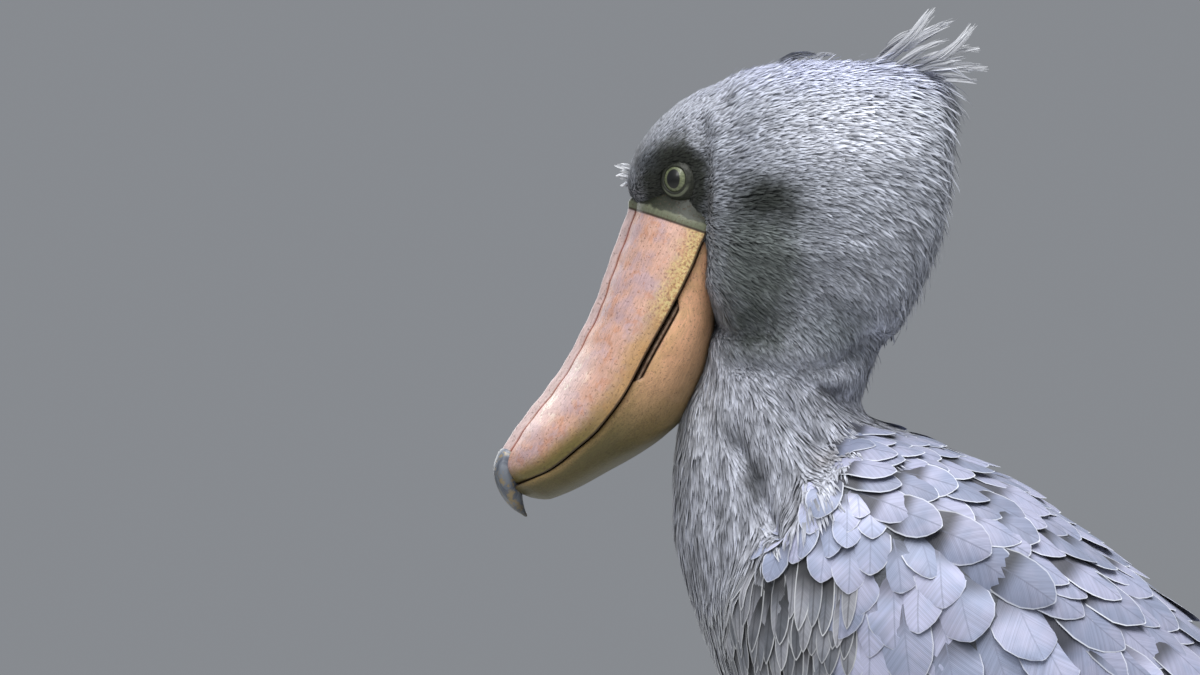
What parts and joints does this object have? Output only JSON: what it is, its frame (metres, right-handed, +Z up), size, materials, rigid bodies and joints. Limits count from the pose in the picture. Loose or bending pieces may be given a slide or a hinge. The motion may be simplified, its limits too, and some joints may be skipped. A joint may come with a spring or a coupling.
{
  "type": "life-size standing shoebill model",
  "caption": "Still, life-size standing shoebill: huge hooked bill, crested head, drawn-in neck, folded wings, long bare legs and toes.",
  "frame": {"origin": "middle of the bird's box, on the floor between its feet", "axes": "+Z up, the bird faces -Y, its left side is +X"},
  "size_m": [0.2838, 0.7358, 1.1135],
  "materials": {
    "head_feathers": "fine soft blue-grey feathers, pale where the light strikes their tips",
    "body_feathers": "long blue-grey feathers with dark middles and pale edges",
    "wing_feathers": "broad slate-blue vanes with a faint sheen and thin pale fringes",
    "flight_feathers": "dark slate flight and tail feathers",
    "bill_horn": "smooth horn, pinkish ochre with dark specks and scratches",
    "nail_horn": "blue-grey horn with ochre mottling",
    "eye": "wet pale grey-green eye with a dark pupil",
    "leg_skin": "dark slate scaly skin",
    "claw_horn": "dark horn"
  },
  "bodies": {
    "root": {"bill_lower": "bill_horn", "bill_nail": "nail_horn", "bill_upper": "bill_horn", "claw_hind_left": "claw_horn", "claw_hind_right": "claw_horn", "claw_inner_left": "claw_horn", "claw_inner_right": "claw_horn", "claw_middle_left": "claw_horn", "claw_middle_right": "claw_horn", "claw_outer_left": "claw_horn", "claw_outer_right": "claw_horn", "crest": "head_feathers", "eye_left": "eye", "eye_right": "eye", "head": "head_feathers", "neck_lower": "body_feathers", "neck_upper": "head_feathers", "shank_left": "leg_skin", "shank_right": "leg_skin", "tail": "flight_feathers", "tarsus_left": "leg_skin", "tarsus_right": "leg_skin", "thigh_left": "body_feathers", "thigh_right": "body_feathers", "toe_hind_left": "leg_skin", "toe_hind_right": "leg_skin", "toe_inner_left": "leg_skin", "toe_inner_right": "leg_skin", "toe_middle_left": "leg_skin", "toe_middle_right": "leg_skin", "toe_outer_left": "leg_skin", "toe_outer_right": "leg_skin", "trunk": "body_feathers", "wing_flight_left": "flight_feathers", "wing_flight_right": "flight_feathers", "wing_left": "wing_feathers", "wing_right": "wing_feathers"}
  },
  "joints": []
}
